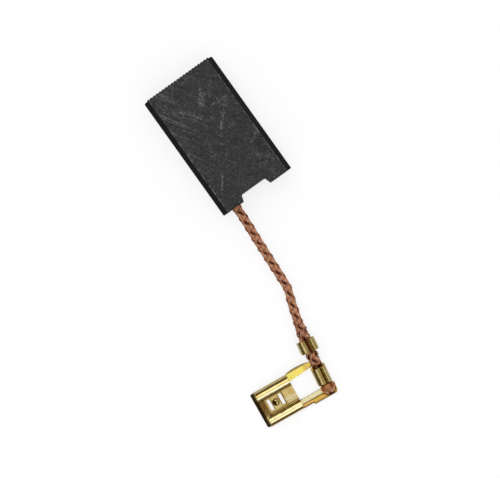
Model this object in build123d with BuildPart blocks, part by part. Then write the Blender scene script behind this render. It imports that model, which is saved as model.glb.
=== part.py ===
from build123d import *
from math import ceil, pi, radians, sqrt, tan
import os

# Carbon brush of a power tool, lying on its wide face: a carbon block with a hollow ribbed contact
# face, a braided copper shunt tamped into its rear end, and a brass flag terminal for a 6.3 mm tab.
# X runs towards the contact face, Y across the width, Z through the thickness, in millimetres.
# The origin is the middle of the block's underside.

# Carbon block
block_length = 26.6
block_width = 16.0
block_thickness = 6.3
bevel_width = 1.0
bevel_depth = 1.35
commutator_radius = 17.0
rib_pitch = 0.7
rib_height = 0.18
cut_overrun = 1.0
notch_mouth = 6.5
notch_floor = 5.6
notch_depth = 1.35
notch_corner = 0.3

# Shunt hole, and the copper powder rammed round the braid in it
shunt_from_side = 3.0
powder_wall = 0.3
hole_depth = 6.5
drill_angle = 118
braid_depth = 5.0

# Braid
braid_diameter = 1.9
lead_out = 1.4
floor_clearance = 0.02
seat_press = 0.05
corner_share = 0.45
frayed_width = 3.4
frayed_height = 1.9
frayed_length = 2.1
frayed_round = 0.6

# Brass sheet of the flag terminal, and the tab that its receptacle takes
sheet = 0.4
tab_width = 6.3
tab_thickness = 0.8
tab_clearance = 0.08
tab_side_clearance = 0.35
receptacle_length = 8.15
roll_gap = 3.15
wall_lean = 0.35
roll_foot_radius = 0.65
roll_lip = 0.08
roll_share = 0.98
mouth_set_back = 0.75
mouth_lean = 0.3
mouth_slant = 0.9
lip_corner_across = 0.35
lip_corner_along = 0.75
slot_width = 2.2
slot_length = 0.62
slot_pitch = 2.53
rear_slot_set_back = 3.02
bump_radius = 0.75
bump_height = 0.25
bump_swell = 0.75
pit_radius = 0.52
pit_floor = 0.12
pit_from_bump = 0.38

# Near arm beside the window: a web tilted up to a curved outer rim, narrowing towards the strip
window_length = 4.98
near_inner = 2.2
near_inner_end = 2.6
near_tilt = 20.0
near_rim_swell = 0.25
near_rim_end = 3.75
near_overlap = 0.2

# Far arm: a shallow valley, with an upturned wing that widens past its start
far_inner = 2.0
far_valley = 3.1
far_inner_rise = 0.12
far_wing_rise = 0.35
far_start_rim = 3.8
far_rim = 4.2
far_start_length = 2.0
far_widening = 0.4
far_wing_past = 1.4
far_bend_radius = 0.6
far_corner = 0.5

# Crimps, pressed round the braid across the rear of the sheet
strip_skew = 4.0
crimp_across = 0.4
conductor_length = 3.75
conductor_slack = 0.4
conductor_squeeze = 0.7
conductor_lean = 0.45
relief_length = 2.45
relief_slack = 1.15
relief_squeeze = 0.95
bare_gap = 3.15
crimp_foot_radius = 0.6
conductor_seam = 0.06
conductor_seam_shift = 0.4
relief_seam = 0.4
relief_seam_shift = 0.25
crimp_bite = 0.4
crimp_lean = 0.2
seam_fill = 0.7
neck_half_width = 1.1

# Where the crimped part of the braid lies, and which way it points
crimp_x = -49.66
crimp_y = 10.53
strip_angle = 170.0

front_x = block_length / 2
rear_x = -block_length / 2
mid_z = block_thickness / 2
shunt_y = block_width / 2 - shunt_from_side
hole_radius = braid_diameter / 2 + powder_wall
floor_z = braid_diameter / 2 + floor_clearance
seat_z = braid_diameter / 2 + sheet - seat_press

# Route of the braid: out of the block, down to the surface, round the kink and through the crimps
route = [
    (rear_x + braid_depth, shunt_y, mid_z),
    (rear_x - lead_out, shunt_y, mid_z),
    (-21.2, 5.45, 1.95),
    (-27.0, 5.75, 1.15),
    (-32.2, 6.1, floor_z),
    (-36.6, 7.65, floor_z),
    (-41.4, 9.07, seat_z),
    (-47.4, 10.14, seat_z),
    (-53.5, 10.98, seat_z),
]


def corner_radii(points):
    """Largest even arc at each corner of a route: a share of its shorter run sets the tangents."""
    radii = []
    for before, corner, after in zip(points, points[1:], points[2:]):
        run_in = Vector(*corner) - Vector(*before)
        run_out = Vector(*after) - Vector(*corner)
        half_turn = radians(run_in.get_angle(run_out)) / 2
        radii.append(corner_share * min(run_in.length, run_out.length) / tan(half_turn))
    return radii


def on(place, plane):
    """The plane, carried to a place of the terminal."""
    return Plane(place * plane.location)


# Half section of the shunt hole along its axis, from its mouth to the drill's point
drill_point = hole_radius / tan(radians(drill_angle / 2))
shunt_axis = Axis((rear_x, shunt_y, mid_z), (1, 0, 0))
with BuildSketch(Plane(origin=shunt_axis.position, z_dir=(0, 0, 1))) as hole_section:
    with BuildLine():
        Polyline(
            (0, 0),
            (hole_depth + drill_point, 0),
            (hole_depth, hole_radius),
            (0, hole_radius),
            close=True,
        )
    make_face()


# Carbon block: bevelled bar, cut to the commutator in front and notched behind
with BuildPart() as carbon_block:
    with BuildSketch(Plane.YZ.offset(rear_x)):
        with BuildLine():
            Polyline(
                (0, 0),
                (block_width / 2 - bevel_width, 0),
                (block_width / 2, bevel_depth),
                (block_width / 2, block_thickness - bevel_depth),
                (block_width / 2 - bevel_width, block_thickness),
                (0, block_thickness),
            )
            mirror(about=Plane.YZ)
        make_face()
    extrude(amount=block_length + cut_overrun)

    # The notch flares towards its mouth, and the spring bears on its floor
    with BuildSketch(Plane.XY) as notch:
        with BuildLine():
            Polyline(
                (rear_x - cut_overrun, -notch_mouth / 2),
                (rear_x, -notch_mouth / 2),
                (rear_x + notch_depth, -notch_floor / 2),
                (rear_x + notch_depth, notch_floor / 2),
                (rear_x, notch_mouth / 2),
                (rear_x - cut_overrun, notch_mouth / 2),
                close=True,
            )
        make_face()
        fillet(notch.vertices().group_by(Axis.X)[-1], notch_corner)
    extrude(amount=block_thickness, mode=Mode.SUBTRACT)

    # Blind hole for the shunt
    revolve(hole_section.sketch, axis=shunt_axis, mode=Mode.SUBTRACT)

    # Contact face: a ribbed roller of the commutator's radius leaves V ribs along its arc
    crest_radius = commutator_radius - rib_height
    roller_x = front_x + sqrt(crest_radius**2 - mid_z**2)
    ribs = ceil(block_width / rib_pitch)
    first_y = -ribs * rib_pitch / 2
    with BuildSketch(Plane.XY.offset(mid_z)):
        with BuildLine():
            teeth = [(roller_x, first_y), (roller_x - commutator_radius, first_y)]
            for rib in range(ribs):
                valley_y = first_y + rib * rib_pitch
                teeth.append((roller_x - crest_radius, valley_y + rib_pitch / 2))
                teeth.append((roller_x - commutator_radius, valley_y + rib_pitch))
            teeth.append((roller_x, -first_y))
            Polyline(*teeth, close=True)
        make_face()
    revolve(axis=Axis((roller_x, 0, mid_z), (0, 1, 0)), mode=Mode.SUBTRACT)
carbon_block.part.label = "carbon_block"


# Places of the conductor crimp and of the receptacle's rear edge
crimp_behind = window_length + neck_half_width
strip_place = Location((crimp_x, crimp_y, 0), (0, 0, strip_angle))
terminal_place = strip_place * Location((0, 0, 0), (0, 0, strip_skew))
terminal_place = terminal_place * Location((crimp_across, -crimp_behind, 0))

receptacle_width = tab_width + 2 * sheet + 2 * tab_side_clearance
roll_radius = (receptacle_width / 2 - wall_lean - roll_gap / 2) / 2 * roll_share
roll_tip_z = sheet + tab_thickness + tab_clearance
receptacle_height = roll_tip_z + roll_lip + roll_radius
conductor_width = braid_diameter + 2 * sheet + conductor_slack
conductor_height = braid_diameter * conductor_squeeze + 2 * sheet
relief_width = braid_diameter + 2 * sheet + relief_slack
relief_height = braid_diameter * relief_squeeze + 2 * sheet

conductor_start = -conductor_length / 2
relief_start = conductor_start - bare_gap - relief_length

# Where each crimp starts along the strip, its length, width and height, and its seam's two edges
crimps = [
    (
        conductor_start,
        conductor_length,
        conductor_width,
        conductor_height,
        {side: conductor_seam / 2 + side * conductor_seam_shift for side in (-1, 1)},
    ),
    (
        relief_start,
        relief_length,
        relief_width,
        relief_height,
        {side: relief_seam / 2 + side * relief_seam_shift for side in (-1, 1)},
    ),
]


def inner_line(points):
    """The line one sheet thickness inside a line that turns left."""
    corners = [Vector(*point) for point in points]
    ways = [(after - before).normalized() for before, after in zip(corners, corners[1:])]
    normals = [Vector(-way.Y, way.X) for way in ways]
    inner = [corners[0] + normals[0] * sheet]
    for corner, one, two in zip(corners[1:], normals, normals[1:]):
        inner.append(corner + (one + two) * (sheet / (1 + one.dot(two))))
    inner.append(corners[-1] + normals[-1] * sheet)
    return inner


def folded_section(plane, points, radii):
    """Section of the folded sheet inside a line that turns left, on its plane."""
    inner = inner_line(points)
    inner_radii = [max(radius - sheet, 0) for radius in radii]
    with BuildSketch(plane) as section:
        with BuildLine():
            FilletPolyline(*points, radius=radii)
            FilletPolyline(*inner, radius=inner_radii)
            Line(points[0], inner[0])
            Line(points[-1], inner[-1])
        make_face()
    return section.sketch


def crimp_line(width, height, seam_edge):
    """Outer line of one side of a crimp, whose wing rolls over and bites down beside the seam."""
    shoulder = (width / 2 - crimp_lean - seam_edge) / 2 * roll_share
    points = [
        (0, 0),
        (width / 2, 0),
        (width / 2 - crimp_lean, height),
        (seam_edge, height),
        (seam_edge, height - shoulder - crimp_bite),
    ]
    return points, [crimp_foot_radius, shoulder, shoulder]


def crimp_core(start, width, height, seam_edges):
    """Section of the strands pressed to the inside of a crimp, as high as its lower wing tip."""
    core = []
    core_radii = []
    for side in (-1, 1):
        points, radii = crimp_line(width, height, seam_edges[side])
        line = [Vector(side * corner.X, corner.Y) for corner in inner_line(points)[1:]]
        inner_radii = [max(radius - sheet, 0) for radius in radii]
        core += line[::side]
        core_radii += inner_radii[::side]
    lower = min(core[0].Y, core[-1].Y)
    core[0] = Vector(core[0].X, lower)
    core[-1] = Vector(core[-1].X, lower)
    with BuildSketch(on(strip_place, Plane.YZ.offset(start))) as section:
        with BuildLine():
            FilletPolyline(*core, radius=core_radii)
            Line(core[-1], core[0])
        make_face()
    return section.sketch


def web_section(plane, points):
    """Section of a flat web of the sheet that stands on the line between two points."""
    inner = inner_line(points)
    with BuildSketch(plane) as section:
        with BuildLine():
            Polyline(*points, *reversed(inner), close=True)
        make_face()
    return section.sketch


# Near arm, cut to its outline from a tilted web
near_end = window_length + near_overlap
near_rise = (near_rim_end + cut_overrun - near_inner) * tan(radians(near_tilt))
with BuildPart() as near_arm:
    near_plane = Plane(origin=(0, 0, 0), x_dir=(-1, 0, 0), z_dir=(0, 1, 0))
    near_line = [(near_inner, 0), (near_rim_end + cut_overrun, near_rise)]
    extrude(web_section(on(terminal_place, near_plane), near_line), near_end)
    with BuildSketch(on(terminal_place, Plane.XY)):
        with BuildLine():
            ThreePointArc(
                (-near_rim_end, near_end),
                (-receptacle_width / 2 - near_rim_swell, near_end / 2),
                (-receptacle_width / 2, 0),
            )
            Polyline(
                (-receptacle_width / 2, 0),
                (-near_inner, 0),
                (-near_inner_end, near_end),
                (-near_rim_end, near_end),
            )
        make_face()
    extrude(amount=receptacle_height, mode=Mode.INTERSECT)


# Far arm, cut to its outline from a folded valley
far_end = crimp_behind + far_wing_past
with BuildPart() as far_arm:
    far_plane = Plane(origin=(0, far_end, 0), x_dir=(1, 0, 0), z_dir=(0, -1, 0))
    far_line = [(far_inner, far_inner_rise), (far_valley, 0), (far_rim, far_wing_rise)]
    extrude(folded_section(on(terminal_place, far_plane), far_line, [far_bend_radius]), far_end)
    with BuildSketch(on(terminal_place, Plane.XY)):
        with BuildLine():
            Polyline(
                (0, 0),
                (far_start_rim, 0),
                (far_start_rim, far_start_length),
                (far_rim, far_start_length + far_widening),
                (far_rim, far_end - far_corner),
                (far_rim - far_corner, far_end),
                (0, far_end),
                close=True,
            )
        make_face()
    extrude(amount=receptacle_height, mode=Mode.INTERSECT)


# Flag terminal: one stamped and folded sheet
with BuildPart() as flag_terminal:
    # Receptacle: flat base, with both sides rolled over to hold the tab down
    roll_line = [
        (0, 0),
        (receptacle_width / 2, 0),
        (receptacle_width / 2 - wall_lean, receptacle_height),
        (roll_gap / 2, receptacle_height),
        (roll_gap / 2, roll_tip_z),
    ]
    roll_radii = [roll_foot_radius, roll_radius, roll_radius]
    extrude(folded_section(on(terminal_place, Plane.XZ), roll_line, roll_radii), receptacle_length)
    mirror(about=on(terminal_place, Plane.YZ))

    # Lead-in: the rolls start behind the lip of the base, and lean back
    mouth = -receptacle_length
    roll_start = mouth + mouth_set_back
    with BuildSketch(on(terminal_place, Plane.YZ)):
        with BuildLine():
            Polyline(
                (mouth - cut_overrun, sheet / 2),
                (mouth, sheet / 2),
                (roll_start, sheet),
                (roll_start, roll_tip_z),
                (roll_start + mouth_lean, receptacle_height),
                (roll_start + mouth_lean, receptacle_height + cut_overrun),
                (mouth - cut_overrun, receptacle_height + cut_overrun),
                close=True,
            )
        make_face()
    extrude(amount=receptacle_width, both=True, mode=Mode.SUBTRACT)

    # The inner corners of both rolls are cut back at the mouth
    slant_edge = roll_gap / 2 + mouth_slant
    with BuildSketch(on(terminal_place, Plane.XY.offset(roll_tip_z - tab_clearance))):
        with BuildLine():
            Polyline(
                (-slant_edge, mouth),
                (-slant_edge, roll_start),
                (-roll_gap / 2, roll_start + mouth_slant),
                (roll_gap / 2, roll_start + mouth_slant),
                (slant_edge, roll_start),
                (slant_edge, mouth),
                close=True,
            )
        make_face()
    extrude(amount=receptacle_height, mode=Mode.SUBTRACT)

    # The lip's corners are cut back too
    for side in (-1, 1):
        with BuildSketch(on(terminal_place, Plane.XY)):
            with BuildLine():
                Polyline(
                    (side * (receptacle_width / 2 - lip_corner_across), mouth),
                    (side * receptacle_width / 2, mouth + lip_corner_along),
                    (side * receptacle_width / 2, mouth),
                    close=True,
                )
            make_face()
        extrude(amount=receptacle_height, mode=Mode.SUBTRACT)

    # Two slots across the base leave a springy bridge
    with BuildSketch(on(terminal_place, Plane.XY)):
        with Locations((0, -rear_slot_set_back), (0, -rear_slot_set_back - slot_pitch)):
            Rectangle(slot_width, slot_length)
    extrude(amount=sheet, mode=Mode.SUBTRACT)

    # Locking bump in the middle of the bridge, with a steep pit on the mouth's side
    bump_place = terminal_place * Location((0, -rear_slot_set_back - slot_pitch / 2, 0))
    bump_top = sheet + bump_height
    with BuildSketch(on(bump_place, Plane.XZ)):
        with BuildLine():
            Polyline((bump_radius, sheet), (bump_radius, sheet / 2), (0, sheet / 2), (0, bump_top))
            ThreePointArc(
                (0, bump_top),
                (bump_radius / 2, sheet + bump_swell * bump_height),
                (bump_radius, sheet),
            )
        make_face()
    revolve(axis=Axis(bump_place.position, (0, 0, 1)))
    pit_place = bump_place * Location((0, -pit_from_bump, 0))
    with BuildSketch(on(pit_place, Plane.XZ)):
        with BuildLine():
            Polyline(
                (0, pit_floor),
                (pit_radius, bump_top),
                (pit_radius, bump_top + cut_overrun),
                (0, bump_top + cut_overrun),
                close=True,
            )
        make_face()
    revolve(axis=Axis(pit_place.position, (0, 0, 1)), mode=Mode.SUBTRACT)

    # Strip that the crimps stand on, from the strain relief to the far arm
    with BuildSketch(on(strip_place, Plane.XY)):
        with Locations((relief_start, 0)):
            Rectangle(
                far_valley + crimp_across - relief_start,
                2 * neck_half_width,
                align=(Align.MIN, Align.CENTER),
            )
    extrude(amount=sheet)
    add(near_arm.part)
    add(far_arm.part)

    # Conductor crimp beside the window, and the wider strain relief crimp where the braid comes in
    for start, length, width, height, seam_edges in crimps:
        for side in (-1, 1):
            line, line_radii = crimp_line(width, height, seam_edges[side])
            half = Plane(origin=(start, 0, 0), x_dir=(0, side, 0), z_dir=(side, 0, 0))
            extrude(folded_section(on(strip_place, half), line, line_radii), side * length)

    # The conductor crimp's wings lean back where the braid comes in
    with BuildSketch(on(strip_place, Plane.XZ)):
        with BuildLine():
            Polyline(
                (conductor_start, conductor_height / 2),
                (conductor_start + conductor_lean, conductor_height),
                (conductor_start + conductor_lean, conductor_height + cut_overrun),
                (conductor_start, conductor_height + cut_overrun),
                close=True,
            )
        make_face()
    extrude(amount=conductor_width, both=True, mode=Mode.SUBTRACT)
flag_terminal.part.label = "flag_terminal"


# Braid: a round tube along its route, pressed to the crimps' inside and frayed at its cut end
radii = corner_radii(route)
with BuildPart() as braided_shunt:
    with BuildLine() as path:
        FilletPolyline(*route, radius=radii)
    with BuildSketch(Plane(origin=path.wire() @ 0, z_dir=path.wire() % 0)):
        Circle(braid_diameter / 2)
    sweep(path=path.wire())
    tube_volume = braided_shunt.part.volume

    # Frayed end behind the conductor crimp
    with BuildSketch(on(strip_place, Plane.YZ.offset(conductor_length / 2))):
        with Locations((0, sheet + frayed_height / 2)):
            RectangleRounded(frayed_width, frayed_height, frayed_round)
    extrude(amount=frayed_length)

    # In the crimps the round tube gives way to strands pressed to the wings' inside
    for start, length, width, height, seam_edges in crimps:
        with BuildSketch(on(strip_place, Plane.YZ.offset(start))):
            Rectangle(width, height, align=(Align.CENTER, Align.MIN))
        extrude(amount=length, mode=Mode.SUBTRACT)
        extrude(crimp_core(start, width, height, seam_edges), length)

    # Strands also rise into the strain relief's open seam
    with BuildSketch(on(strip_place, Plane.YZ.offset(relief_start))):
        with Locations((relief_seam_shift, sheet)):
            Rectangle(relief_seam, relief_height * seam_fill, align=(Align.CENTER, Align.MIN))
    extrude(amount=relief_length)
    add(flag_terminal.part, mode=Mode.SUBTRACT)
braided_shunt.part.label = "braided_shunt"


# Powder plug: fills the hole round the braid and below its end
with BuildPart() as tamped_plug:
    revolve(hole_section.sketch, axis=shunt_axis)
    add(braided_shunt.part, mode=Mode.SUBTRACT)
tamped_plug.part.label = "tamped_plug"

os.makedirs("parts", exist_ok=True)
export_step(carbon_block.part, "parts/carbon_block.step")
export_step(tamped_plug.part, "parts/tamped_plug.step")
export_step(braided_shunt.part, "parts/braided_shunt.step")
export_step(flag_terminal.part, "parts/flag_terminal.step")

print("braid length", round(path.wire().length, 2), "radii", [round(radius, 1) for radius in radii])
print("tube volume", round(tube_volume, 3), "section times length",
      round(pi * braid_diameter**2 / 4 * path.wire().length, 3))
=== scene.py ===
import math

import bpy
import numpy as np
from mathutils import Matrix


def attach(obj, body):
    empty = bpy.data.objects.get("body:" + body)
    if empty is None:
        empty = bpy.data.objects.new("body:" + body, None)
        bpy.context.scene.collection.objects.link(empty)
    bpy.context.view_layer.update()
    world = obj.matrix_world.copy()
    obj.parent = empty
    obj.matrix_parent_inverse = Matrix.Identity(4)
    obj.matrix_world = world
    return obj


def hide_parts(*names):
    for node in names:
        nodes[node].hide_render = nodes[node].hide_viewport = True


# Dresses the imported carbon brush: woven copper shunt, ground graphite, bright brass
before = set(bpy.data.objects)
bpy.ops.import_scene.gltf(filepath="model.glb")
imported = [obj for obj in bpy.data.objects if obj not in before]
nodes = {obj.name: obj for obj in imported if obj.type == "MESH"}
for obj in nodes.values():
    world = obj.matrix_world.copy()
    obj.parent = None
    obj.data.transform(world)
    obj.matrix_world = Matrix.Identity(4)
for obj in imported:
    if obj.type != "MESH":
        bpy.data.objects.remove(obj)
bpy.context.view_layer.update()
scene = bpy.context.scene
scene.view_settings.view_transform = "Standard"
print("frame loaded")

mm = 0.001

cameraPlace = {
    "centre": (-19.933, 6.471, 280.0),  # mm, looking straight down
    "right": (-0.5807, -0.8141, 0.0),
    "up": (0.8141, -0.5807, 0.0),
    "lens": 102.47,
    "sensor": 36,
    "clip": 0.01,
}

cameraData = bpy.data.cameras.new("camera")
cameraData.sensor_fit = "HORIZONTAL"
cameraData.sensor_width = cameraPlace["sensor"]
cameraData.lens = cameraPlace["lens"]
cameraData.clip_start = cameraPlace["clip"]
camera = bpy.data.objects.new("camera", cameraData)
scene.collection.objects.link(camera)
cameraTurn = Matrix((cameraPlace["right"], cameraPlace["up"], (0, 0, 1))).transposed().to_4x4()
camera.matrix_world = Matrix.Translation([c * mm for c in cameraPlace["centre"]]) @ cameraTurn
scene.camera = camera
print("camera placed")


# A node's output socket, so that shader maths reads as plain sums
class Value:
    def __init__(self, finish, socket):
        self.finish = finish
        self.socket = socket

    def __add__(self, other):
        return self.finish.maths("ADD", self, other)

    def __radd__(self, other):
        return self.finish.maths("ADD", other, self)

    def __sub__(self, other):
        return self.finish.maths("SUBTRACT", self, other)

    def __rsub__(self, other):
        return self.finish.maths("SUBTRACT", other, self)

    def __mul__(self, other):
        return self.finish.maths("MULTIPLY", self, other)

    def __rmul__(self, other):
        return self.finish.maths("MULTIPLY", other, self)

    def __abs__(self):
        return self.finish.maths("ABSOLUTE", self)


# A material's or the world's node tree
class Finish:
    def __init__(self, tree):
        self.tree = tree
        self.tree.nodes.clear()

    # The one way to add a node: settings first, then its sockets' values or links
    def node(self, kind, settings=None, inputs=None, output=0):
        node = self.tree.nodes.new(kind)
        for name, value in (settings or {}).items():
            setattr(node, name, value)
        for name, value in (inputs or {}).items():
            if isinstance(value, Value):
                self.tree.links.new(value.socket, node.inputs[name])
            else:
                node.inputs[name].default_value = value
        return Value(self, node.outputs[output]) if len(node.outputs) else None

    def maths(self, operation, *values):
        return self.node("ShaderNodeMath", {"operation": operation}, dict(enumerate(values)))

    def vector(self, operation, one, two, output="Vector"):
        return self.node("ShaderNodeVectorMath", {"operation": operation}, {0: one, 1: two}, output)

    def dot(self, one, two):
        return self.vector("DOT_PRODUCT", one, two, "Value")

    def mix(self, factor, one, two):
        return self.node("ShaderNodeMix", {"data_type": "RGBA"}, {0: factor, 6: one, 7: two}, 2)

    def ramp(self, value, low, high):
        settings = {"interpolation_type": "SMOOTHSTEP"}
        inputs = {"Value": value, "From Min": low, "From Max": high}
        return self.node("ShaderNodeMapRange", settings, inputs)

    # 1 between two values, with soft ends
    def band(self, value, low, high, soft):
        return self.ramp(value, low - soft, low + soft) * (1 - self.ramp(value, high - soft, high + soft))

    def noise(self, place, scale, detail=2.0, roughness=0.5):
        inputs = {"Vector": place, "Scale": scale, "Detail": detail, "Roughness": roughness}
        return self.node("ShaderNodeTexNoise", None, inputs)

    # Patches where a noise passes from low to high
    def patches(self, place, scale, detail, roughness, low, high):
        return self.ramp(self.noise(place, scale, detail, roughness), low, high)

    # Place on the object in millimetres
    def place(self):
        point = self.node("ShaderNodeTexCoord", output="Object")
        return self.vector("MULTIPLY", point, (1 / mm, 1 / mm, 1 / mm))

    def axes(self, place):
        split = self.node("ShaderNodeSeparateXYZ", None, {0: place}).socket.node
        return [Value(self, socket) for socket in split.outputs]

    def joined(self, x, y, z):
        return self.node("ShaderNodeCombineXYZ", None, {0: x, 1: y, 2: z})

    def bump(self, strength, distance, height):
        inputs = {"Strength": strength, "Distance": distance, "Height": height}
        return self.node("ShaderNodeBump", None, inputs)


def newFinish(name):
    material = bpy.data.materials.new(name)
    material.use_nodes = True
    return material, Finish(material.node_tree)


def surface(finish, inputs):
    shader = finish.node("ShaderNodeBsdfPrincipled", None, inputs)
    finish.node("ShaderNodeOutputMaterial", None, {"Surface": shader})


def colour(red, green, blue):
    return (red, green, blue, 1)


# Woven shunt, in millimetres but for its route and exit: four bundles of wires each way
braid = {
    "route": [
        (-0.0083, 0.005, 0.00315),
        (-0.0147, 0.005, 0.00315),
        (-0.0212, 0.00545, 0.00195),
        (-0.027, 0.00575, 0.00115),
        (-0.0313, 0.00598, 0.00097),
        (-0.0323, 0.0061, 0.00097),
        (-0.0334, 0.00655, 0.00097),
        (-0.0366, 0.00765, 0.00097),
        (-0.0414, 0.00907, 0.0013),
        (-0.0474, 0.01014, 0.0013),
        (-0.0535, 0.01098, 0.0013),
    ],
    "exit": (-0.0133, 0.005, 0.00315),
    "diameter": 1.9,
    "seed": 7,
    # Weave: a bundle turns once in a lay and goes over and under between crest and valley
    "bundles": 4,
    "lay": 9.32,
    "phase": 1.78,
    "crest": 0.91,
    "valley": 0.60,
    "steepness": 1.8,
    # Wires of a bundle: seven over six, lower towards its edges
    "outerWires": 7,
    "wireRadius": 0.044,
    "wirePitch": 0.095,
    "sides": 5,
    "layerDepths": (0.035, -0.05),
    "bundleRound": 0.75,
    # Seeded wander: length of its waves and size
    "bundleDrift": (11.0, 0.07),
    "bundleLift": (7.0, 0.02),
    "wireDrift": (5.0, 0.02),
    "wireLift": (3.0, 0.012),
    # Slack loops: place ahead of the relief crimp, width and size
    "slack": [(2.1, 0.75, 0.34), (0.75, 0.5, 0.2)],
    # Stations: where the woven steps start, the steps' lengths, and the room left in the crimps
    "hiddenTo": 4.6,
    "hiddenStep": 1.15,
    "wovenStep": 0.24,
    "frayedStep": 0.16,
    "frayedLength": 2.12,
    "crimpSteps": 6,
    "crimpRest": 0.3,
    # Length and turn of the weave behind the conductor crimp
    "endTurn": (3, 1.2),
    # Length over which a crimp presses the wires, and their least gap to its walls and the floor
    "press": 0.35,
    "wallGap": 0.02,
    "floorGap": 0.005,
    # Tones, from 0 in the valleys to 1 on burnished crests, carrying painted shade in the valleys, at the
    # sides and towards the gaps, and painted highlights on crests, edge wires and the frayed end
    "tone": {
        "base": 0.2,
        "height": 0.5,
        "way": 0.05,
        "bundle": 0.12,
        "wire": 0.3,
        "burnishHighlight": 0.5,
        # Painted light on the frayed end: how much brighter, and over what length
        "frayed": 0.35,
        "frayedOver": 0.4,
        # Painted shade at the braid's sides: its strength and where it starts
        "rim": 0.4,
        "sideShadeFrom": 0.65,
        # Painted shade on top towards the gaps: its strength and width
        "gapShade": 0.7,
        "gapShadeWidth": 0.2,
        # Core strands' painted shade: how far to the side it gives way to light, and where it deepens
        # before the crimps
        "coreSides": (0.3, 0.65),
        "coreShadeBeforeCrimp": (5, 2),
    },
    # Thick strands under the bundles, which keep the light from showing through, coloured with painted
    # shade for the gaps
    "coreStrands": 10,
    "coreShare": 0.55,
    "coreRadius": 0.2,
    "coreSides": 6,
}

# Crimps along the strip: width, height, seam and its shift, start and length, in millimetres
crimps = [
    {"width": 3.85, "height": 2.605, "seam": 0.4, "shift": 0.25, "start": -7.475, "length": 2.45},
    {"width": 3.1, "height": 2.13, "seam": 0.06, "shift": 0.4, "start": -1.875, "length": 3.75},
]
strip = {
    "origin": np.array((-49.66, 10.53)),
    "along": np.array((math.cos(math.radians(170)), math.sin(math.radians(170)))),
    "sheet": 0.4,
    "lean": 0.2,
    "shoulderShare": 0.98,
    "leastRound": 0.02,
}
stripAcross = np.array((strip["along"][1], -strip["along"][0]))


def smoothLine(route):
    curve = bpy.data.curves.new("braidLine", "CURVE")
    curve.dimensions = "3D"
    spline = curve.splines.new("NURBS")
    spline.points.add(len(route) - 1)
    for point, corner in zip(spline.points, route):
        point.co = (*corner, 1)
    spline.order_u = 3
    spline.use_endpoint_u = True
    spline.resolution_u = 32
    line = bpy.data.objects.new("braidLine", curve)
    mesh = bpy.data.meshes.new_from_object(line)
    points = np.array([vertex.co for vertex in mesh.vertices]) / mm
    bpy.data.objects.remove(line)
    return points


linePoints = smoothLine(braid["route"])
lineSteps = np.linalg.norm(np.diff(linePoints, axis=0), axis=1)
lineStations = np.concatenate(([0], np.cumsum(lineSteps)))
braidLength = lineStations[-1]
lineAhead = np.gradient(linePoints, lineStations, axis=0)


def onLine(stations, values):
    return np.stack([np.interp(stations, lineStations, values[:, axis]) for axis in range(3)], axis=-1)


def stationAt(alongStrip):
    places = (linePoints[:, :2] - strip["origin"]) @ strip["along"]
    return float(np.interp(alongStrip, places, lineStations))


for crimp in crimps:
    crimp["from"] = stationAt(crimp["start"])
    crimp["to"] = stationAt(crimp["start"] + crimp["length"])
print("braid line", round(braidLength, 2), "mm, crimps from", [round(c["from"], 2) for c in crimps])
print("crimps to", [round(c["to"], 2) for c in crimps])


# Inside height of a crimp's wings over a place across it, measured towards -Y
def crimpTop(crimp, across):
    sheet = strip["sheet"]
    side = np.where(across > crimp["shift"], 1, -1)
    seamEdge = crimp["seam"] / 2 + side * crimp["shift"]
    wall = crimp["width"] / 2 - strip["lean"]
    shoulder = (wall - seamEdge) / 2 * strip["shoulderShare"]
    innerRound = np.maximum(shoulder - sheet, strip["leastRound"])
    fromCentre = np.clip((side * across - (wall - shoulder)) / innerRound, -1, 1)
    arch = crimp["height"] - shoulder + innerRound * np.sqrt(1 - fromCentre**2)
    tip = crimp["height"] - shoulder - sheet
    return np.where(side * across < seamEdge + sheet, tip, arch)


# Half width and half height of the braid along its line, outside the crimps
reliefFrom, reliefTo = crimps[0]["from"], crimps[0]["to"]
coreFrom, coreTo = crimps[1]["from"], crimps[1]["to"]
profile = np.array([
    (0, 0.95, 0.95),
    (5.0, 0.95, 0.95),
    (9.0, 0.93, 0.93),
    (22.0, 0.92, 0.92),
    (24.6, 0.87, 0.90),
    (27.0, 0.92, 0.92),
    (reliefFrom - 4.5, 0.95, 0.95),
    (reliefFrom - 1.6, 1.12, 0.95),
    (reliefFrom - 0.5, 1.22, 0.93),
    (reliefFrom, 1.25, 0.90),
    (reliefTo, 1.25, 0.86),
    (reliefTo + 0.8, 1.22, 0.88),
    (coreFrom - 0.8, 1.18, 0.86),
    (coreFrom, 1.05, 0.75),
    (coreTo, 1.05, 0.75),
    (coreTo + 0.45, 1.50, 0.92),
    (coreTo + 1.2, 1.62, 0.94),
    (coreTo + 1.75, 1.25, 0.80),
    (coreTo + 2.1, 0.45, 0.35),
])


# Smooth seeded wander along the braid: three waves, each shorter and smaller
def wander(random, stations, wave, size):
    shares = (1.0, 0.6, 0.35)
    total = np.zeros(len(stations))
    for share in shares:
        turn = random.uniform(0, 2 * math.pi)
        length = wave * share * random.uniform(0.7, 1.3)
        total += share * np.sin(2 * math.pi * stations / length + turn)
    return size * total / sum(shares)


def smoothStep(value, low, high):
    share = np.clip((value - low) / (high - low), 0, 1)
    return share * share * (3 - 2 * share)


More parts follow.
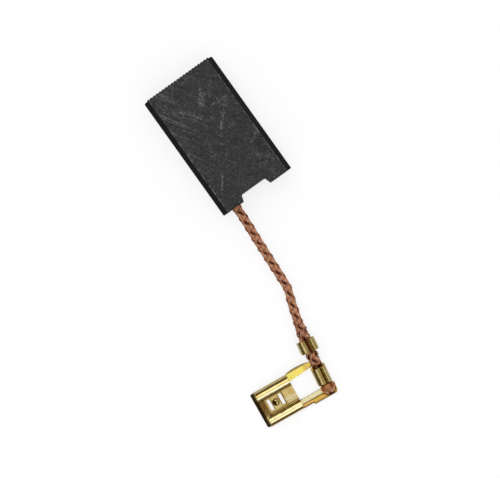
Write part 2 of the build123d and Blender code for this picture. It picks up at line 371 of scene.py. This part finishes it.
# Carries places in a unit disc at each station to the braid's real section
def seat(stations, sideways, upwards):
    wireRadius, press = braid["wireRadius"], braid["press"]
    ahead = onLine(stations, lineAhead)
    ahead /= np.linalg.norm(ahead, axis=-1, keepdims=True)
    right = np.cross(ahead, (0, 0, 1))
    right /= np.linalg.norm(right, axis=-1, keepdims=True)
    up = np.cross(right, ahead)
    halfWidth = np.interp(stations, profile[:, 0], profile[:, 1])
    halfHeight = np.interp(stations, profile[:, 0], profile[:, 2])
    overrun = np.clip(stations - braidLength, 0, None)
    places = onLine(stations, linePoints) + ahead * overrun[..., None]
    places = places + right * (sideways * halfWidth)[..., None] + up * (upwards * halfHeight)[..., None]
    for crimp in crimps:
        inside = smoothStep(stations, crimp["from"] - press, crimp["from"])
        inside = (inside * (1 - smoothStep(stations, crimp["to"], crimp["to"] + press)))[..., None]
        reach = (places[..., :2] - strip["origin"]) @ strip["along"]
        room = crimp["width"] / 2 - strip["lean"] - strip["sheet"] - wireRadius - braid["wallGap"]
        across = sideways * room
        bottom = strip["sheet"] + wireRadius
        top = crimpTop(crimp, -across) - wireRadius
        pressed = np.empty_like(places)
        pressed[..., :2] = strip["origin"] + reach[..., None] * strip["along"] \
            + across[..., None] * stripAcross
        pressed[..., 2] = bottom + (upwards + 1) / 2 * (top - bottom)
        places = places * (1 - inside) + pressed * inside
    places[..., 2] = np.maximum(places[..., 2], wireRadius + braid["floorGap"])
    return places


# Tubes round rows of points, with closed ends
def tubes(rows, radius, sides):
    count, steps = rows.shape[:2]
    ahead = np.gradient(rows, axis=1)
    ahead /= np.linalg.norm(ahead, axis=-1, keepdims=True)
    normal = np.cross(ahead[:, 0], (0.3, 0.2, 1.0))  # a direction in which no wire runs
    rings = np.empty((count, steps, sides, 3))
    angles = np.arange(sides) * 2 * math.pi / sides
    for step in range(steps):
        way = ahead[:, step]
        normal = normal - way * np.sum(normal * way, axis=-1, keepdims=True)
        normal /= np.linalg.norm(normal, axis=-1, keepdims=True)
        other = np.cross(way, normal)
        for side, angle in enumerate(angles):
            offset = normal * math.cos(angle) + other * math.sin(angle)
            rings[:, step, side] = rows[:, step] + offset * radius
    index = np.arange(count * steps * sides).reshape(count, steps, sides)
    here, there = index[:, :-1], index[:, 1:]
    quads = np.stack((here, np.roll(here, -1, axis=2), np.roll(there, -1, axis=2), there), axis=-1)
    faces = quads.reshape(-1, 4).tolist()
    faces += index[:, 0, ::-1].tolist() + index[:, -1].tolist()
    return rings.reshape(-1, 3), faces


def meshPiece(name, parts, materials):
    vertices, faces, tones, slots = [], [], [], []
    for places, partFaces, partTones, slot in parts:
        start = sum(len(v) for v in vertices)
        vertices.append(places * mm)
        faces += [[corner + start for corner in face] for face in partFaces]
        tones.append(partTones)
        slots += [slot] * len(partFaces)
    mesh = bpy.data.meshes.new(name)
    mesh.from_pydata(np.concatenate(vertices).tolist(), [], faces)
    attribute = mesh.attributes.new("tone", "FLOAT", "POINT")
    attribute.data.foreach_set("value", np.concatenate(tones).astype(np.float32))
    mesh.polygons.foreach_set("material_index", slots)
    for material in materials:
        mesh.materials.append(material)
    mesh.shade_smooth()
    piece = bpy.data.objects.new(name, mesh)
    scene.collection.objects.link(piece)
    return piece


def braidStations():
    heldFrom, rest, steps = reliefFrom - braid["press"], braid["crimpRest"], braid["crimpSteps"]
    return np.concatenate((
        np.arange(0, braid["hiddenTo"], braid["hiddenStep"]),
        np.arange(braid["hiddenTo"], heldFrom, braid["wovenStep"]),
        np.linspace(heldFrom, reliefTo - rest, steps),
        np.arange(reliefTo, coreFrom, braid["wovenStep"]),
        np.linspace(coreFrom, coreTo - rest, steps),
        np.arange(coreTo, coreTo + braid["frayedLength"], braid["frayedStep"]),
    ))


# Turn of the weave at each station: it stands still where the crimps hold the wires
def weaveTurn(stations):
    endLength, endTurn = braid["endTurn"]
    wovenTo = reliefFrom + coreFrom - reliefTo
    woven = np.interp(stations, [0, reliefFrom, reliefTo, coreFrom, coreTo, coreTo + endLength],
                      [0, reliefFrom, reliefFrom, wovenTo, wovenTo, wovenTo + endTurn])
    return 2 * math.pi * (woven + braid["phase"]) / braid["lay"]


# Slack loops on one side, where the braid spreads before the relief crimp
def slackAt(stations, angle):
    slack = np.zeros(len(stations))
    for place, width, size in braid["slack"]:
        slack += size * np.exp(-((stations - reliefFrom + place) / width) ** 2)
    return slack * np.clip(-np.cos(angle), 0, 1) ** 3


# Tones of one wire: painted shade in the valleys, at the rim and towards the gaps on top, and painted
# light on the frayed end
def wireTones(stations, turn, angle, depth, ownTone):
    tone = braid["tone"]
    # Painted shade in the valleys, painted highlight on the crests
    height = (depth - braid["valley"]) / (braid["crest"] - braid["valley"])
    # Painted light: the frayed end is lifted brighter
    frayed = tone["frayed"] * smoothStep(stations, coreTo, coreTo + tone["frayedOver"])
    # Painted shade at the braid's sides
    rim = tone["rim"] * smoothStep(abs(np.cos(angle)), tone["sideShadeFrom"], 1.0)
    # Painted shade on top, towards the gaps between bundles
    gap = (0.5 - 0.5 * np.cos(braid["bundles"] * turn)) ** 2
    gapShade = tone["gapShade"] * np.exp(-((np.cos(angle) / tone["gapShadeWidth"]) ** 2)) * gap
    return np.clip(tone["base"] + tone["height"] * height + ownTone + frayed - rim - gapShade, 0, 1)


def wovenWires():
    random = np.random.default_rng(braid["seed"])
    tone = braid["tone"]
    radius = braid["diameter"] / 2
    stations = braidStations()
    turn = weaveTurn(stations)
    steepness = braid["steepness"]
    wave = np.tanh(steepness * np.cos(braid["bundles"] * turn)) / math.tanh(steepness)
    middle = (braid["crest"] + braid["valley"]) / 2
    swing = (braid["crest"] - braid["valley"]) / 2
    lean = math.cos(math.atan(2 * math.pi * middle / braid["lay"]))
    rows, tones = [], []
    for way in (-1, 1):
        for bundle in range(braid["bundles"]):
            drift = wander(random, stations, *braid["bundleDrift"])
            lift = wander(random, stations, *braid["bundleLift"])
            bundleTone = random.uniform(-tone["bundle"], tone["bundle"]) + tone["way"] * way
            for layer, layerDepth in enumerate(braid["layerDepths"]):
                wires = braid["outerWires"] - layer
                for wire in range(wires):
                    across = (wire - (wires - 1) / 2) * braid["wirePitch"]
                    across = across + wander(random, stations, *braid["wireDrift"])
                    depth = middle - way * swing * wave + lift
                    depth = depth + layerDepth - braid["bundleRound"] * across**2
                    depth = depth + wander(random, stations, *braid["wireLift"])
                    angle = bundle * 2 * math.pi / braid["bundles"] + way * turn + drift
                    angle = angle + across / (depth * lean)
                    share = depth / radius
                    if way == 1:
                        share = share * (1 + slackAt(stations, angle))
                    rows.append(seat(stations, share * np.cos(angle), share * np.sin(angle)))
                    ownTone = bundleTone + random.uniform(-tone["wire"], tone["wire"])
                    # Edge wires of the top layer: some burnish, mostly a painted highlight
                    if layer == 0 and wire in (0, wires - 1):
                        ownTone += tone["burnishHighlight"]
                    tones.append(wireTones(stations, turn, angle, depth, ownTone))
    places, faces = tubes(np.array(rows), braid["wireRadius"], braid["sides"])
    tones = np.repeat(np.array(tones).reshape(-1), braid["sides"])

    # Strands under the bundles: painted shade below the gaps on top and near the crimps, lighter at the
    # sides
    tightFrom, tightTo = tone["coreShadeBeforeCrimp"]
    lessCoreShade = 1 - smoothStep(stations, reliefFrom - tightFrom, reliefFrom - tightTo)
    centre = np.zeros(len(stations))
    strands, coreTones = [seat(stations, centre, centre)], [centre]
    share = braid["coreShare"]
    for strand in range(braid["coreStrands"]):
        angle = strand * 2 * math.pi / braid["coreStrands"]
        strands.append(seat(stations, share * np.cos(angle), share * np.sin(angle)))
        coreTones.append(smoothStep(abs(np.cos(angle)), *tone["coreSides"]) * lessCoreShade)
    corePlaces, coreFaces = tubes(np.array(strands), braid["coreRadius"], braid["coreSides"])
    coreTones = np.repeat(np.array(coreTones).reshape(-1), braid["coreSides"])
    return [(places, faces, tones, 0), (corePlaces, coreFaces, coreTones, 1)]


copper = {
    "tint": colour(0.75, 0.30, 0.18),
    # Valleys: some oxide, mostly painted shade
    "valley": colour(0.22, 0.045, 0.02),
    "strand": colour(0.96, 0.40, 0.20),
    # Burnish and painted highlight on crests and edge wires
    "burnishedHighlight": colour(1.0, 0.76, 0.53),
    "yellowed": colour(0.86, 0.50, 0.20),
    "stain": colour(0.30, 0.09, 0.045),
    "orange": colour(1.0, 0.44, 0.10),
    # Painted shade of the core strands
    "coreShadeDeep": colour(0.07, 0.009, 0.004),
    "coreShadeSoft": colour(0.22, 0.035, 0.014),
    # Tones over which the wires turn from the painted valley shade to strand and from strand to the
    # burnished, painted highlight
    "strandTones": (0.05, 0.5),
    "burnishedHighlightTones": (0.55, 0.95),
    # Patches: scale, detail and roughness of their noise, and where it starts and ends
    "yellowPatches": (0.8, 2.0, 0.5, 0.5, 0.72),
    "yellowShare": 0.4,
    "stainPatches": (2.2, 3.0, 0.5, 0.55, 0.72),
    "stainShare": 0.65,
    # The frayed end behind the conductor crimp is orange on the crimp's side
    "frayed": (-51.6, 10.9, 1.4),
    "frayedReach": (1.0, 2.1),
    "frayedShare": 0.7,
    "metallic": 0.76,
    "rough": (0.24, 0.16),
    "roughScale": 6.0,
    "coreNoise": (5.0, 3.0),
    "coreShine": 0.8,
    "coreMetallic": 0.5,
    "coreRough": 0.5,
}


def toneOf(finish):
    return finish.node("ShaderNodeAttribute", {"attribute_name": "tone"}, output="Fac")


def copperFinish():
    material, finish = newFinish("copper_braid")
    place = finish.place()
    tone = toneOf(finish)
    base = finish.mix(finish.ramp(tone, *copper["strandTones"]), copper["valley"], copper["strand"])
    base = finish.mix(finish.ramp(tone, *copper["burnishedHighlightTones"]), base, copper["burnishedHighlight"])
    yellow = finish.patches(place, *copper["yellowPatches"]) * copper["yellowShare"]
    base = finish.mix(yellow, base, copper["yellowed"])
    stain = finish.patches(place, *copper["stainPatches"]) * copper["stainShare"]
    base = finish.mix(stain, base, copper["stain"])
    distance = finish.vector("DISTANCE", place, copper["frayed"], "Value")
    near = (1 - finish.ramp(distance, *copper["frayedReach"])) * copper["frayedShare"]
    base = finish.mix(near, base, copper["orange"])
    smoothest, more = copper["rough"]
    rough = smoothest + more * finish.noise(place, copper["roughScale"])
    surface(finish, {"Base Color": base, "Metallic": copper["metallic"], "Roughness": rough,
                     "Specular Tint": copper["tint"]})
    return material


def coreShadeFinish():
    material, finish = newFinish("copper_core_shade")
    shade = finish.noise(finish.place(), *copper["coreNoise"])
    base = finish.mix(shade, copper["coreShadeDeep"], copper["coreShadeSoft"])
    base = finish.mix(toneOf(finish) * copper["coreShine"], base, copper["strand"])
    surface(finish, {"Base Color": base, "Metallic": copper["coreMetallic"],
                     "Roughness": copper["coreRough"]})
    return material


shunt = meshPiece("braided_wires", wovenWires(), [copperFinish(), coreShadeFinish()])
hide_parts("braided_shunt")
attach(shunt, "root")
print("shunt woven,", len(shunt.data.polygons), "faces")


# Carbon block: ground wide faces with scratches and dust, black bevels of pressed skin darkened further
# with painted shade, worn upright sides
graphite = {
    "deep": colour(0.017, 0.017, 0.018),
    "face": colour(0.052, 0.053, 0.052),
    # Bevels' pressed skin, deepened with painted shade; also the dark rim
    "skinAndShade": colour(0.003, 0.003, 0.003),
    "skinWorn": colour(0.012, 0.012, 0.012),
    "side": colour(0.009, 0.009, 0.009),
    "sideWorn": colour(0.028, 0.028, 0.028),
    "dust": colour(0.30, 0.30, 0.29),
    "grindingWay": (0.843, 0.537, 0.0),
    "grindingAcross": (-0.537, 0.843, 0.0),
    # The block's measures, in millimetres: flat half width, rear end, notch floor and its half width
    "faceEdge": 7.0,
    "rearEnd": -13.3,
    "notchFloor": -11.95,
    "notchHalf": 2.8,
    "notchFlare": 0.333,
    # How level a wide face and a bevel are
    "flat": (0.85, 0.97),
    "upright": (0.05, 0.2),
    "grain": (2.6, 7.0, 0.72),
    # Patches: scale, detail and roughness of their noise, and where it starts and ends
    "clouds": (0.28, 3.0, 0.5, 0.4, 0.7),
    "scratches": (1.0, 4.0, 0.6, 0.5, 0.72),
    "fineScratches": (1.0, 4.0, 0.6, 0.62, 0.76),
    "hairPatches": (0.7, 2.0, 0.5, 0.5, 0.68),
    "specks": (3.6, 2.0, 0.5, 0.66, 0.76),
    "rubbed": (0.8, 3.0, 0.5, 0.42, 0.66),
    "hairs": (0.9, 5.0, 0.65),
    "hairWidth": 0.018,
    # Scratches along and across the grinding, and where on the face they grow strong
    "scratchScale": (0.22, 2.6),
    "fineScale": (4.0, 0.3),
    "groundX": (-3.0, 8.0),
    "groundY": (-3.0, 5.0),
    "groundLeast": 0.22,
    # Grain over which each part changes colour or takes dust
    "streakGrain": (0.4, 0.7),
    "dustGrain": (0.2, 0.62),
    "faceGrain": (0.3, 0.72),
    "skinGrain": (0.45, 0.8),
    "sideGrain": (0.35, 0.75),
    # Shares of dust and shade
    "hairShare": 0.7,
    "speckShare": 0.8,
    "streakShare": 0.75,
    "edgeShare": 0.6,
    "scratchShare": 0.36,
    "fineShare": 0.12,
    "cloudShare": 0.45,
    "dustShare": 0.75,
    "rimShare": 0.9,
    "sideDust": 0.3,
    # Widths of the rubbed edge and the dark rims, in millimetres
    "edgeRamp": (-0.28, -0.05),
    "rearRamp": (0.04, 0.2),
    "wallStart": (-0.05, 0.0),
    "wallEnd": (0.08, 0.2),
    "wallReach": 0.1,
    # Streaks of dust: from, to and half width, in millimetres on the face
    "streaks": [
        ((9.0, -2.6), (6.3, -0.7), 0.55),
        ((5.3, -2.3), (5.2, -5.9), 0.16),
        ((-4.9, -4.4), (-3.6, -6.8), 0.2),
        ((8.0, 3.4), (4.4, 0.6), 0.22),
        ((-0.6, -0.4), (2.6, -3.0), 0.25),
        ((-6.8, 3.6), (-9.4, 5.6), 0.15),
    ],
    "streakOver": 0.1,
    "streakSoft": 0.4,
    "rough": (0.58, 0.14),
    "specular": 0.12,
    "bumpStrength": 0.4,
    "bumpDistance": 0.00004,
    "bumpScratches": 0.5,
}


def streakMask(finish, x, y, start, end, half):
    length = math.dist(start, end)
    way = ((end[0] - start[0]) / length, (end[1] - start[1]) / length)
    reach = (x - start[0]) * way[0] + (y - start[1]) * way[1]
    off = abs((x - start[0]) * way[1] - (y - start[1]) * way[0])
    over = graphite["streakOver"]
    ends = finish.band(reach, -over, length + over, graphite["streakSoft"])
    return ends * (1 - finish.ramp(off, 0.0, half * 2))


# Dust on the wide faces, from 0 to 1
def graphiteDust(finish, place, x, y, grain, specks, scratches):
    # Thin winding hairs, broken by patches
    bent = finish.noise(place, *graphite["hairs"])
    hairs = 1 - finish.ramp(abs(bent - 0.5), 0.0, graphite["hairWidth"])
    dust = hairs * finish.patches(place, *graphite["hairPatches"]) * graphite["hairShare"]
    dust = dust + specks * graphite["speckShare"]
    streakGrain = finish.ramp(grain, *graphite["streakGrain"]) * graphite["streakShare"]
    for start, end, half in graphite["streaks"]:
        dust = dust + streakMask(finish, x, y, start, end, half) * streakGrain

    # Edges of the face are rubbed pale, and rubbed off here and there
    edge = finish.ramp(abs(y) - graphite["faceEdge"], *graphite["edgeRamp"])
    edge = edge * finish.patches(place, *graphite["rubbed"])
    dust = (dust + edge * graphite["edgeShare"] + scratches) * finish.ramp(grain, *graphite["dustGrain"])
    return finish.maths("MINIMUM", dust, 1.0)


# Dark rim at the rear end and along the walls of the spring notch
def graphiteRim(finish, x, y):
    rear = 1 - finish.ramp(x - graphite["rearEnd"], *graphite["rearRamp"])
    pastFloor = x - graphite["notchFloor"]
    offWall = abs(y) - graphite["notchHalf"] + pastFloor * graphite["notchFlare"]
    wall = finish.ramp(offWall, *graphite["wallStart"]) * (1 - finish.ramp(offWall, *graphite["wallEnd"]))
    wall = wall * (1 - finish.ramp(pastFloor, 0.0, graphite["wallReach"]))
    return finish.maths("MAXIMUM", rear, wall)


def graphiteFinish():
    material, finish = newFinish("graphite")
    place = finish.place()
    x, y, z = finish.axes(place)
    normal = finish.node("ShaderNodeNewGeometry", output="Normal")
    level = abs(finish.axes(normal)[2])
    flat = finish.ramp(level, *graphite["flat"])
    upright = 1 - finish.ramp(level, *graphite["upright"])
    grain = finish.noise(place, *graphite["grain"])
    specks = finish.patches(place, *graphite["specks"])

    # Grinding scratches run one way, strongest near the contact face, with fine ones across
    ground = finish.ramp(x, *graphite["groundX"]) * finish.ramp(y, *graphite["groundY"])
    ground = ground + graphite["groundLeast"]
    along = finish.dot(place, graphite["grindingWay"])
    across = finish.dot(place, graphite["grindingAcross"])
    alongScale, acrossScale = graphite["scratchScale"]
    lines = finish.joined(along * alongScale, across * acrossScale, z)
    coarse = finish.patches(lines, *graphite["scratches"]) * ground
    alongScale, acrossScale = graphite["fineScale"]
    lines = finish.joined(along * alongScale, across * acrossScale, z)
    fine = finish.patches(lines, *graphite["fineScratches"])
    scratches = coarse * graphite["scratchShare"] + fine * graphite["fineShare"]

    face = finish.mix(finish.ramp(grain, *graphite["faceGrain"]), graphite["deep"], graphite["face"])
    clouds = finish.patches(place, *graphite["clouds"]) * graphite["cloudShare"]
    face = finish.mix(clouds, face, graphite["deep"])
    dust = graphiteDust(finish, place, x, y, grain, specks, scratches)
    face = finish.mix(dust * graphite["dustShare"], face, graphite["dust"])
    face = finish.mix(graphiteRim(finish, x, y) * graphite["rimShare"], face, graphite["skinAndShade"])

    # Upright sides rub on the holder and are a little paler than the bevels
    # Bevels: pressed skin, with painted shade deepening it
    skinAndShade = finish.mix(finish.ramp(grain, *graphite["skinGrain"]), graphite["skinAndShade"], graphite["skinWorn"])
    side = finish.mix(finish.ramp(grain, *graphite["sideGrain"]), graphite["side"], graphite["sideWorn"])
    side = finish.mix(specks * graphite["sideDust"], side, graphite["dust"])
    base = finish.mix(flat, finish.mix(upright, skinAndShade, side), face)
    roughest, less = graphite["rough"]
    height = grain + coarse * graphite["bumpScratches"]
    bump = finish.bump(graphite["bumpStrength"], graphite["bumpDistance"], height)
    surface(finish, {"Base Color": base, "Roughness": roughest - less * grain,
                     "Specular IOR Level": graphite["specular"], "Normal": bump})
    return material


powder = {
    "dark": colour(0.10, 0.045, 0.028),
    "light": colour(0.42, 0.22, 0.14),
    "grain": (9.0, 4.0, 0.7),
    "metallic": 0.8,
    "rough": 0.6,
    "bumpStrength": 0.6,
    "bumpDistance": 0.00005,
}


def powderFinish():
    material, finish = newFinish("copper_powder")
    grain = finish.noise(finish.place(), *powder["grain"])
    base = finish.mix(grain, powder["dark"], powder["light"])
    bump = finish.bump(powder["bumpStrength"], powder["bumpDistance"], grain)
    surface(finish, {"Base Color": base, "Metallic": powder["metallic"], "Roughness": powder["rough"],
                     "Normal": bump})
    return material


# Brass terminal: marks are placed across and along the receptacle, from its rear edge's middle
brass = {
    "origin": (-49.422, 16.619, 0.0),
    "acrossWay": (-0.99452, 0.10453, 0.0),
    "alongWay": (-0.10453, -0.99452, 0.0),
    "deep": colour(0.70, 0.50, 0.16),
    # Tarnish, also used for painted shade
    "bright": colour(0.86, 0.68, 0.29),
    "tarnishAndShade": colour(0.13, 0.065, 0.014),
    # Brown tarnish, also used for painted shade
    "brownAndShade": colour(0.22, 0.115, 0.028),
    "yellow": colour(0.95, 0.78, 0.17),
    "amber": colour(0.50, 0.27, 0.08),
    "gold": colour(0.46, 0.29, 0.055),
    "ash": colour(0.50, 0.46, 0.27),
    # Colour of painted highlights
    "pale": colour(0.88, 0.80, 0.52),
    # Rolling lines of the sheet, and the cloudy patches that break them
    "rollingScale": (5.0, 0.35),
    "rolling": (1.0, 3.0, 0.6),
    "clouds": (0.7, 3.0),
    "cloudShare": 0.6,
    "sheetTones": (0.38, 0.62),
    "broken": (2.0, 3.0, 0.6, 0.2, 0.42),
    # Marks: colour, strength, and their box: across from, to, along from, to, with soft edges
    "marks": [
        # Painted highlights: light stripes on the base near its rear edge
        ("pale", 0.7, 0.32, 0.78, -2.4, 0.0, 0.12),
        ("pale", 0.5, 1.15, 1.42, -2.3, 0.0, 0.1),
        ("tarnishAndShade", 0.85, -1.35, 1.35, -2.68, -2.42, 0.08),
        ("tarnishAndShade", 0.75, -1.05, 1.1, -3.55, -3.38, 0.07),
        ("tarnishAndShade", 0.75, -1.1, 1.2, -5.22, -5.02, 0.07),
        ("brownAndShade", 0.9, -1.75, 1.7, -9.0, -6.2, 0.3),
        ("tarnishAndShade", 0.55, -1.7, 0.9, -9.0, -6.3, 0.3),
        ("brownAndShade", 0.9, -4.2, 4.2, -9.0, -7.55, 0.35),
        # Painted highlights along the tops of the rolls
        ("pale", 0.75, -2.7, -1.95, -7.3, 0.0, 0.15),
        ("pale", 0.75, 2.35, 2.95, -7.2, 0.0, 0.15),
        # Painted shade under the left roll's tip, and a painted dark reflection on the right roll's outer
        # side
        ("tarnishAndShade", 0.9, -1.85, -1.35, -7.6, -0.1, 0.1),
        ("tarnishAndShade", 0.8, 3.14, 3.5, -7.6, -0.1, 0.08),
        # Painted dark reflection on the left roll's outer side
        ("brownAndShade", 0.6, -3.5, -3.14, -7.6, -0.1, 0.08),
        ("yellow", 1.0, -3.75, -2.1, 0.0, 5.2, 0.12),
        ("amber", 0.5, -3.75, -2.1, 3.6, 5.6, 0.5),
        # Painted shade along the near arm's outer rim
        ("tarnishAndShade", 0.75, -4.4, -3.72, 0.0, 5.2, 0.1),
        ("ash", 1.0, 1.9, 3.1, 0.2, 5.6, 0.1),
        ("gold", 1.0, 3.1, 4.6, 2.1, 7.8, 0.1),
        ("brownAndShade", 0.8, 1.85, 2.2, -0.2, 0.5, 0.15),
        # Painted shade along the fold of the far arm
        ("tarnishAndShade", 1.0, 2.93, 3.16, 0.0, 7.5, 0.05),
        ("amber", 0.95, 3.14, 3.5, 0.1, 2.1, 0.08),
        ("tarnishAndShade", 0.95, 3.5, 3.9, 0.0, 2.3, 0.06),
        ("brownAndShade", 1.0, 3.84, 4.3, 2.2, 7.6, 0.08),
        ("brownAndShade", 0.8, 2.9, 3.5, 4.2, 5.6, 0.3),
        # Painted shade in the open rear ends of the rolls
        ("tarnishAndShade", 0.6, -1.95, -1.3, -0.25, 0.05, 0.08),
        ("tarnishAndShade", 0.5, 1.5, 2.1, -0.25, 0.05, 0.08),
        ("brownAndShade", 0.7, 2.0, 2.3, -4.55, -3.6, 0.12),
        ("brownAndShade", 0.5, 2.15, 2.45, -6.1, -5.8, 0.1),
    ],
    # Painted shade in the pit of the locking bump: across, along, and its half width and length
    "pit": (-0.03, -4.72, 0.62, 0.36),
    "pitEdge": (0.6, 1.1),
    "pitShare": 0.95,
    "rough": (0.17, 0.13),
    "roughNoise": (2.5, 4.0),
    "pimples": (9.0, 3.0),
    "pimpleShare": 0.4,
    "bumpStrength": 0.1,
    "bumpDistance": 0.000015,
}


def brassFinish():
    material, finish = newFinish("brass_sheet")
    place = finish.place()
    fromOrigin = finish.vector("SUBTRACT", place, brass["origin"])
    across = finish.dot(fromOrigin, brass["acrossWay"])
    along = finish.dot(fromOrigin, brass["alongWay"])

    acrossScale, alongScale = brass["rollingScale"]
    rolled = finish.noise(finish.joined(across * acrossScale, along * alongScale, 0.0), *brass["rolling"])
    clouds = finish.noise(place, *brass["clouds"])
    shade = clouds * brass["cloudShare"] + rolled * (1 - brass["cloudShare"])
    base = finish.mix(finish.ramp(shade, *brass["sheetTones"]), brass["deep"], brass["bright"])
    broken = finish.patches(place, *brass["broken"])
    for name, strength, left, right, low, high, soft in brass["marks"]:
        mask = finish.band(across, left, right, soft) * finish.band(along, low, high, soft)
        base = finish.mix(mask * broken * strength, base, brass[name])

    pitAcross, pitAlong, pitWide, pitLong = brass["pit"]
    offAcross = (across - pitAcross) * (1 / pitWide)
    offAlong = (along - pitAlong) * (1 / pitLong)
    # Painted shade in the pit
    pit = 1 - finish.ramp(offAcross * offAcross + offAlong * offAlong, *brass["pitEdge"])
    base = finish.mix(pit * brass["pitShare"], base, brass["tarnishAndShade"])

    smoothest, more = brass["rough"]
    rough = smoothest + more * finish.noise(place, *brass["roughNoise"])
    pimples = finish.noise(place, *brass["pimples"]) * brass["pimpleShare"]
    height = rolled * (1 - brass["pimpleShare"]) + pimples
    bump = finish.bump(brass["bumpStrength"], brass["bumpDistance"], height)
    surface(finish, {"Base Color": base, "Metallic": 1.0, "Roughness": rough, "Normal": bump})
    return material


def dress(node, material):
    mesh = nodes[node].data
    mesh.materials.clear()
    mesh.materials.append(material)
    mesh.polygons.foreach_set("material_index", [0] * len(mesh.polygons))


dress("carbon_block", graphiteFinish())
dress("tamped_plug", powderFinish())
dress("flag_terminal", brassFinish())
print("block, plug and terminal dressed")


# Studio: pale floor under a dim tent, with a long softbox overhead to the photo's right
studio = {
    "sky": 0.8,
    "floor": {"reach": 1.5, "height": -0.00002, "shine": 0.75, "mirrored": 0.45},
    "softbox": {"centre": (-0.095, 0.03, 0.40), "size": (0.75, 0.15), "power": 0.60},
    # Walls and ceiling as seen in metal: half width, height, and glow for -X, +X, -Y and +Y
    "tent": {
        "half": 0.48,
        "height": 0.50,
        "foot": 0.001,
        "glow": {"low x": 0.16, "high x": 0.12, "low y": 0.34, "high y": 0.07},
    },
    # What flat metal mirrors straight up
    "card": {"centre": (-0.086, 0.036, 0.36), "radius": 0.058, "corners": 32, "glow": 0.5},
}
white = colour(1, 1, 1)


# Rays that see the white background
def seen(finish):
    direct, mirrored, through = [
        finish.node("ShaderNodeLightPath", output=name)
        for name in ("Is Camera Ray", "Is Glossy Ray", "Is Transmission Ray")
    ]
    return finish.maths("MINIMUM", direct + mirrored + through, 1.0)


def floorFinish():
    material, finish = newFinish("pale_floor")
    diffuse = finish.node("ShaderNodeBsdfDiffuse", None, {"Color": white})
    mirrored = finish.node("ShaderNodeEmission", None, {"Strength": studio["floor"]["mirrored"]})
    direct = finish.node("ShaderNodeEmission", None, {"Strength": 1.0})
    byCamera = finish.node("ShaderNodeLightPath", output="Is Camera Ray")
    glow = finish.node("ShaderNodeMixShader", None, {0: byCamera, 1: mirrored, 2: direct})
    factor = seen(finish) * studio["floor"]["shine"]
    blend = finish.node("ShaderNodeMixShader", None, {0: factor, 1: diffuse, 2: glow})
    finish.node("ShaderNodeOutputMaterial", None, {"Surface": blend})
    return material


def cardFinish(name, glow):
    material, finish = newFinish(name)
    shine = finish.node("ShaderNodeEmission", None, {"Color": white, "Strength": glow})
    finish.node("ShaderNodeOutputMaterial", None, {"Surface": shine})
    return material


def stagePiece(name, vertices, faces, material, onlyMirrored=False):
    mesh = bpy.data.meshes.new(name)
    mesh.from_pydata(vertices, [], faces)
    mesh.materials.append(material)
    piece = bpy.data.objects.new(name, mesh)
    scene.collection.objects.link(piece)
    if onlyMirrored:
        for ray in ("camera", "diffuse", "transmission", "volume_scatter", "shadow"):
            setattr(piece, f"visible_{ray}", False)


def layFloor(reach, height):
    corners = [(x * reach, y * reach, height) for x, y in ((-1, -1), (1, -1), (1, 1), (-1, 1))]
    stagePiece("floor", corners, [(0, 1, 2, 3)], floorFinish())


def raiseTent(half, height, foot, glow):
    centreX, centreY = [c * mm for c in cameraPlace["centre"][:2]]
    for side, strength in glow.items():
        end = -1 if side.startswith("low") else 1
        # The wall at this end, and the quarter of the ceiling over it
        wall = [(end, -1, foot), (end, 1, foot), (end, 1, height), (end, -1, height)]
        quarter = [(end, -1, height), (end, 1, height), (0, 0, height)]
        corners = wall + quarter
        if side.endswith("y"):
            corners = [(y, x, z) for x, y, z in corners]
        corners = [(centreX + x * half, centreY + y * half, z) for x, y, z in corners]
        name = f"tent {side}"
        stagePiece(name, corners, [(0, 1, 2, 3), (4, 5, 6)], cardFinish(name, strength), True)


def hangCard(centre, radius, corners, glow):
    turns = [2 * math.pi * corner / corners for corner in range(corners)]
    rim = [(centre[0] + radius * math.cos(turn), centre[1] + radius * math.sin(turn), centre[2])
           for turn in turns]
    stagePiece("lens_card", rim, [tuple(range(corners))], cardFinish("card_grey", glow), True)


def hangSoftbox(centre, size, power):
    lamp = bpy.data.lights.new("softbox", "AREA")
    lamp.shape = "RECTANGLE"
    lamp.size, lamp.size_y = size
    lamp.energy = power
    softbox = bpy.data.objects.new("softbox", lamp)
    softbox.location = centre
    scene.collection.objects.link(softbox)


def lightSky(strength):
    world = bpy.data.worlds.new("studio")
    scene.world = world
    world.use_nodes = True
    sky = Finish(world.node_tree)
    dim = sky.node("ShaderNodeBackground", None, {"Color": white, "Strength": strength})
    bright = sky.node("ShaderNodeBackground", None, {"Color": white, "Strength": 1.0})
    blend = sky.node("ShaderNodeMixShader", None, {0: seen(sky), 1: dim, 2: bright})
    sky.node("ShaderNodeOutputWorld", None, {"Surface": blend})


layFloor(studio["floor"]["reach"], studio["floor"]["height"])
raiseTent(**studio["tent"])
hangCard(**studio["card"])
hangSoftbox(**studio["softbox"])
lightSky(studio["sky"])
print("studio lit")
